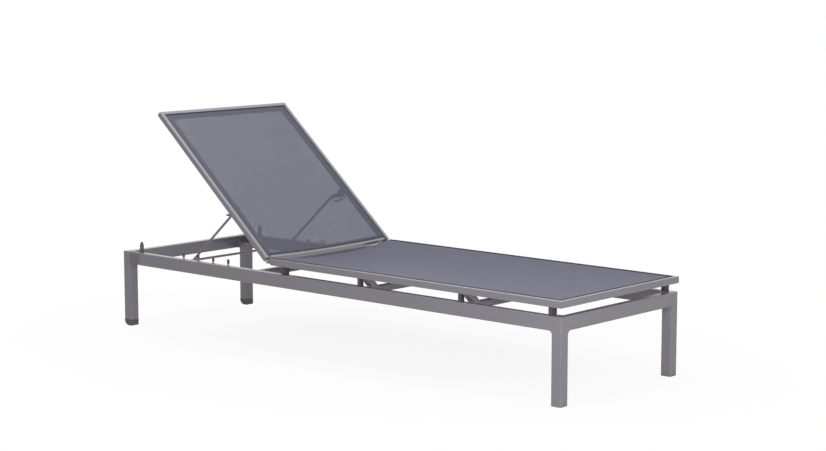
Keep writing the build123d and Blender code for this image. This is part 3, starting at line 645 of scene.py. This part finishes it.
def seat_spline_line():
    """The middle line of the seat's bead, over the splines, from one head end to the other.

    It is straight along the middle of each groove, with a quarter circle at each foot corner.
    """
    inset = LIP + GROOVE / 2
    side, foot = DECK_SIDE - inset, SEAT_FOOT - inset
    run = np.linspace(SEAT_HEAD + BEAD_GAP, foot - BEAD_TURN, BEAD_RUN_POINTS)
    bow = np.linspace(0, np.pi / 2, BEAD_TURN_POINTS)[1:-1]
    corner = np.stack([
        foot - BEAD_TURN + BEAD_TURN * np.sin(bow), side - BEAD_TURN + BEAD_TURN * np.cos(bow)])
    cross = np.linspace(side - BEAD_TURN, BEAD_TURN - side, BEAD_CROSS_POINTS)
    half = np.concatenate([np.stack([run, np.full_like(run, side)]), corner], axis=1)
    end = np.stack([np.full_like(cross, foot), cross])
    other = half[:, ::-1] * np.array([[1], [-1]])
    flat = np.concatenate([half, end, other], axis=1).T
    return np.column_stack([flat, np.full(len(flat), SEAT_TOP + BEAD_LIFT)])


def bead(name, line, width, height, material, body):
    """A rubber bead along a line: each section is an ellipse round the line, with flat caps."""
    heading = np.gradient(line, axis=0)
    heading /= np.linalg.norm(heading, axis=1, keepdims=True)
    upward = np.array([0.0, 0.0, 1.0])
    sideways = np.cross(upward, heading)
    turn = np.linspace(0, 2 * np.pi, BEAD_SECTION_POINTS, endpoint=False)
    points = (
        line[:, None, :]
        + np.cos(turn)[None, :, None] * sideways[:, None, :] * width / 2
        + np.sin(turn)[None, :, None] * upward * height / 2
    )
    piece = grid_piece(name, points, material, body, round_columns=True)
    filled = bmesh.new()
    filled.from_mesh(piece.data)
    bmesh.ops.holes_fill(filled, edges=filled.edges)
    bmesh.ops.recalc_face_normals(filled, faces=filled.faces)
    filled.to_mesh(piece.data)
    filled.free()


# Stage

def aimed_camera(settings):
    """A camera at a distance from its target, turned and pitched about it."""
    turn, pitch = settings.azimuth, settings.pitch
    ahead = Vector((-sin(turn) * cos(pitch), cos(turn) * cos(pitch), -sin(pitch)))
    right = Vector((cos(turn), sin(turn), 0))
    above = right.cross(ahead)
    data = bpy.data.cameras.new("camera")
    data.lens = settings.lens
    data.sensor_width = SENSOR_WIDTH
    data.sensor_fit = "HORIZONTAL"
    camera = bpy.data.objects.new("camera", data)
    place = Matrix((right, above, -ahead)).transposed().to_4x4()
    place.translation = Vector(settings.target) - ahead * settings.distance
    camera.matrix_world = place
    bpy.context.scene.collection.objects.link(camera)
    return camera


def lamp(name, power, place, target, size):
    """A soft oblong lamp at a place, aimed at a target."""
    data = bpy.data.lights.new(name, "AREA")
    data.shape = "RECTANGLE"
    data.size, data.size_y = size
    data.energy = power
    made = bpy.data.objects.new(name, data)
    made.location = place
    made.rotation_euler = (Vector(target) - Vector(place)).to_track_quat("-Z", "Y").to_euler()
    bpy.context.scene.collection.objects.link(made)


def direct_view(wire):
    """One for rays from the camera and for reflected and passed rays, nought for soft light."""
    camera, glossy, passed = [
        wire.node("ShaderNodeLightPath", output=name)
        for name in ("Is Camera Ray", "Is Glossy Ray", "Is Transmission Ray")]
    return camera.math("MAXIMUM", glossy).math("MAXIMUM", passed)


def even_sky(settings):
    """White to the camera and in reflections, and an even soft light on everything else."""
    world = bpy.data.worlds.new("even sky")
    world.use_nodes = True
    bpy.context.scene.world = world
    wire = Wire(world.node_tree)
    strength = settings.sky_strength + direct_view(wire) * (1.0 - settings.sky_strength)
    background = world.node_tree.nodes["Background"]
    background.inputs["Color"].default_value = WHITE
    world.node_tree.links.new(strength.socket, background.inputs["Strength"])


def pale_floor(settings):
    """A pale floor that keeps the lounge's faint shadow, and is white to the camera further out.

    The share of white grows with the reach from the middle, in which X counts for less than Y.
    """
    side = np.linspace(-FLOOR_HALF, FLOOR_HALF, FLOOR_POINTS)
    points = np.stack(np.meshgrid(side, side, [0.0], indexing="ij"), axis=-1)
    mesh = bpy.data.meshes.new("floor")
    mesh.from_pydata(points.reshape(-1, 3), [], grid_faces(FLOOR_POINTS, FLOOR_POINTS))
    material, wire, shader = new_finish(
        "pale floor", Base_Color=colour(settings.floor_colour), Roughness=0.9,
        Specular_IOR_Level=0.0)
    x, y, _ = wire.object_place().split()
    reach = (x * x * 0.5 + y * y).math("SQRT")
    share = FLOOR_WHITE + reach.past(SHADOW_REACH, gain=1.2) * (1.0 - FLOOR_WHITE)
    glow = wire.node("ShaderNodeEmission", None, {"Color": WHITE, "Strength": 1.0})
    plain = Wire(material.node_tree, shader.outputs[0])
    inputs = {0: direct_view(wire) * share, 1: plain, 2: glow}
    mixed = wire.node("ShaderNodeMixShader", None, inputs)
    output = material.node_tree.nodes["Material Output"]
    material.node_tree.links.new(mixed.socket, output.inputs["Surface"])
    mesh.materials.append(material)
    floor = bpy.data.objects.new("floor", mesh)
    bpy.context.scene.collection.objects.link(floor)
    return floor


# Operators

class LOUNGE_OT_seat_fabric(bpy.types.Operator):
    """Stretch the seat's woven fabric over its frame"""
    bl_idname = "lounge.seat_fabric"
    bl_label = "Seat fabric"

    def execute(self, context):
        settings = context.scene.lounge_fabric
        middle = SEAT_TOP - LEDGE_DROP + FABRIC_LIFT
        end = SEAT_FOOT - LIP - GROOVE + GROOVE_REACH
        sags = (settings.seat_head_sag, settings.seat_middle_sag, END_SAG)
        points, cloth = fabric_grid(SEAT_HEAD, RAIL_INNER, end, sags, middle)
        weave = woven_mesh("woven seat fabric", settings, cloth)
        fabric = grid_piece(
            "seat_fabric", points, weave, "base_and_seat", cloth)
        thicken(fabric, settings.thickness)
        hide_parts("seat_sling")
        return {"FINISHED"}


class LOUNGE_OT_backrest_fabric(bpy.types.Operator):
    """Stretch the backrest's woven fabric over its frame"""
    bl_idname = "lounge.backrest_fabric"
    bl_label = "Backrest fabric"

    def execute(self, context):
        settings = context.scene.lounge_fabric
        middle = BACK_FRONT - LEDGE_DROP + FABRIC_LIFT
        start = -BACK_START - BACK_BAR_LIP - GROOVE + GROOVE_REACH
        end = -BACK_LENGTH + LIP + GROOVE - GROOVE_REACH
        sags = (settings.back_foot_sag, settings.back_middle_sag, END_SAG)
        points, cloth = fabric_grid(start, -BACK_LENGTH + FRAME_WIDTH, end, sags, middle)
        weave = woven_mesh("woven backrest fabric", settings, cloth)
        fabric = grid_piece(
            "backrest_fabric", raised(points)[:, ::-1], weave, "backrest",
            cloth[:, ::-1])
        thicken(fabric, settings.thickness)
        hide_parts("backrest_sling")
        return {"FINISHED"}


class LOUNGE_OT_base_coat(bpy.types.Operator):
    """Coat the legs, the base rails and what is fixed to them"""
    bl_idname = "lounge.base_coat"
    bl_label = "Base coat"

    def execute(self, context):
        settings = context.scene.lounge_finish
        heights = (RAIL_TOP, RAIL_BOTTOM)
        edges = [("y", (BASE_SIDE, RAIL_SIDE), "z", heights)]
        side = powder_coat("coat on side rails", settings, edges)
        coat_nodes(side, both("base_side_rail", "bail_rack", "head_corner_bracket"))
        for end in ("head", "foot"):
            name = f"base_{end}_rail"
            edges = [("x", ends(name, "x"), "z", heights)]
            coat_nodes(powder_coat(f"coat on {end} rail", settings, edges), [name])
            corners = ("x", ends(f"{end}_leg_left", "x"), "y", (LEG_INNER, BASE_SIDE))
            edges = [corners, ("y", (BASE_SIDE,), "z", (RAIL_TOP,))]
            coat_nodes(powder_coat(f"coat on {end} legs", settings, edges), both(f"{end}_leg"))
        name = "base_cross_rail"
        edges = [("x", ends(name, "x"), "z", ends(name, "z"))]
        coat_nodes(powder_coat("coat on cross rail", settings, edges, gloss=0.0), [name])
        return {"FINISHED"}


class LOUNGE_OT_seat_coat(bpy.types.Operator):
    """Coat the seat frame and its cross bars"""
    bl_idname = "lounge.seat_coat"
    bl_label = "Seat coat"

    def execute(self, context):
        settings = context.scene.lounge_finish
        heights = (SEAT_TOP, SEAT_BOTTOM)
        edges = [("y", (DECK_SIDE, DECK_SIDE - LIP), "z", heights)]
        side = powder_coat("coat on seat rails", settings, edges)
        coat_nodes(side, both("seat_side_rail", "seat_hinge_clevis"))
        edges = [("x", (SEAT_FOOT, SEAT_FOOT - LIP), "z", heights)]
        foot = powder_coat("coat on seat foot rail", settings, edges)
        coat_nodes(foot, ["seat_foot_rail"])
        edges = [("x", ends("seat_head_bar", "x"), "z", ends("seat_head_bar", "z"))]
        bars = powder_coat("coat on seat bars", settings, edges)
        coat_nodes(bars, ["seat_head_bar", "seat_cross_bar_head", "seat_cross_bar_foot"])
        return {"FINISHED"}


class LOUNGE_OT_backrest_coat(bpy.types.Operator):
    """Coat the backrest's frame"""
    bl_idname = "lounge.backrest_coat"
    bl_label = "Backrest coat"

    def execute(self, context):
        settings = context.scene.lounge_finish
        heights = (BACK_FRONT, BACK_REAR)
        edges = [("y", (DECK_SIDE, DECK_SIDE - LIP), "z", heights)]
        side = powder_coat("coat on backrest rails", settings, edges, turned=True)
        coat_nodes(side, both("backrest_side_rail", "backrest_hinge_tongue"))
        places = (-BACK_LENGTH, LIP - BACK_LENGTH, -BACK_START, -BACK_START - BACK_BAR_LIP)
        edges = [("x", places, "z", heights)]
        cross = powder_coat("coat on backrest ends", settings, edges, turned=True)
        coat_nodes(cross, ["backrest_top_rail", "backrest_bottom_bar"])
        return {"FINISHED"}


class LOUNGE_OT_bail_coat(bpy.types.Operator):
    """Coat the bail, its brackets and its pivots' spacers"""
    bl_idname = "lounge.bail_coat"
    bl_label = "Bail coat"

    def execute(self, context):
        settings = context.scene.lounge_finish
        rods = rod_coat("coat on bail", settings, settings.coat_colour)
        coat_nodes(rods, ["bail_cross_rod", *both("bail_arm")])
        brackets = rod_coat("coat on bail brackets", settings, settings.plastic_colour)
        coat_nodes(brackets, [*both("bail_bracket"), "bail_pivot_spacers"])
        return {"FINISHED"}


class LOUNGE_OT_plastic_parts(bpy.types.Operator):
    """Finish the caps, glides, connectors, spacers, posts and sleeves in moulded plastic"""
    bl_idname = "lounge.plastic_parts"
    bl_label = "Plastic parts"

    def execute(self, context):
        settings = context.scene.lounge_finish
        dark = moulded_plastic("dark plastic", settings, settings.plastic_colour)
        coat_nodes(dark, [*both("head_leg_cap", "rest_post", "rack_pins"), "rest_post_tips"])
        grey = moulded_plastic("grey plastic", settings, settings.coat_colour)
        coat_nodes(grey, both("foot_leg_glide", "head_connector"))
        black = moulded_plastic("black plastic", settings, settings.rubber_colour)
        coat_nodes(black, both("spacer_blocks"))
        return {"FINISHED"}


class LOUNGE_OT_small_parts(bpy.types.Operator):
    """Finish the bolts, screws, rivets and pins in steel, and the splines and bead in rubber"""
    bl_idname = "lounge.small_parts"
    bl_label = "Small parts"

    def execute(self, context):
        settings = context.scene.lounge_finish
        steel = turned_steel("plated steel", settings)
        coat_nodes(steel, [
            "spacer_bolts", "bail_bracket_screws", "rack_rivets", "rack_stems", "hinge_pins",
            "bail_pivot_pins"])
        rubber = spline_rubber("spline rubber", settings)
        coat_nodes(rubber, ["seat_splines", "backrest_splines"])
        line = seat_spline_line()
        bead("seat_spline_bead", line, GROOVE, BEAD_HEIGHT, rubber, "base_and_seat")
        return {"FINISHED"}


class LOUNGE_OT_stage(bpy.types.Operator):
    """Set the camera, the lamps, the sky and the floor"""
    bl_idname = "lounge.stage"
    bl_label = "Stage"

    def execute(self, context):
        settings = context.scene.lounge_stage
        scene = context.scene
        scene.view_settings.view_transform = "Standard"
        scene.camera = aimed_camera(settings)
        for name, power, place, target, size in LAMPS:
            lamp(name, getattr(settings, power), place, target, size)
        even_sky(settings)
        floor = pale_floor(settings)
        return {"FINISHED"}


# Panel and registration

class LOUNGE_PT_panel(bpy.types.Panel):
    """Lists the lounge's pieces and its settings"""
    bl_idname = "LOUNGE_PT_panel"
    bl_label = "Sling chaise lounge"
    bl_space_type = "VIEW_3D"
    bl_region_type = "UI"
    bl_category = "Lounge"

    def draw(self, context):
        for operator in OPERATORS:
            self.layout.operator(operator.bl_idname)
        for name, kind in SETTINGS.items():
            box = self.layout.box()
            for field in kind.__annotations__:
                box.prop(getattr(context.scene, name), field)


SETTINGS = {
    "lounge_fabric": FabricSettings,
    "lounge_finish": FinishSettings,
    "lounge_stage": StageSettings,
}
OPERATORS = (
    LOUNGE_OT_stage,
    LOUNGE_OT_seat_fabric,
    LOUNGE_OT_backrest_fabric,
    LOUNGE_OT_base_coat,
    LOUNGE_OT_seat_coat,
    LOUNGE_OT_backrest_coat,
    LOUNGE_OT_bail_coat,
    LOUNGE_OT_plastic_parts,
    LOUNGE_OT_small_parts,
)


def register():
    for kind in (*SETTINGS.values(), *OPERATORS, LOUNGE_PT_panel):
        bpy.utils.register_class(kind)
    for name, kind in SETTINGS.items():
        setattr(bpy.types.Scene, name, PointerProperty(type=kind))


def unregister():
    for name in SETTINGS:
        delattr(bpy.types.Scene, name)
    for kind in reversed((*SETTINGS.values(), *OPERATORS, LOUNGE_PT_panel)):
        bpy.utils.unregister_class(kind)


def main():
    register()
    for operator in OPERATORS:
        group, name = operator.bl_idname.split(".")
        getattr(getattr(bpy.ops, group), name)()
    bpy.context.view_layer.update()


if __name__ == "__main__":
    main()
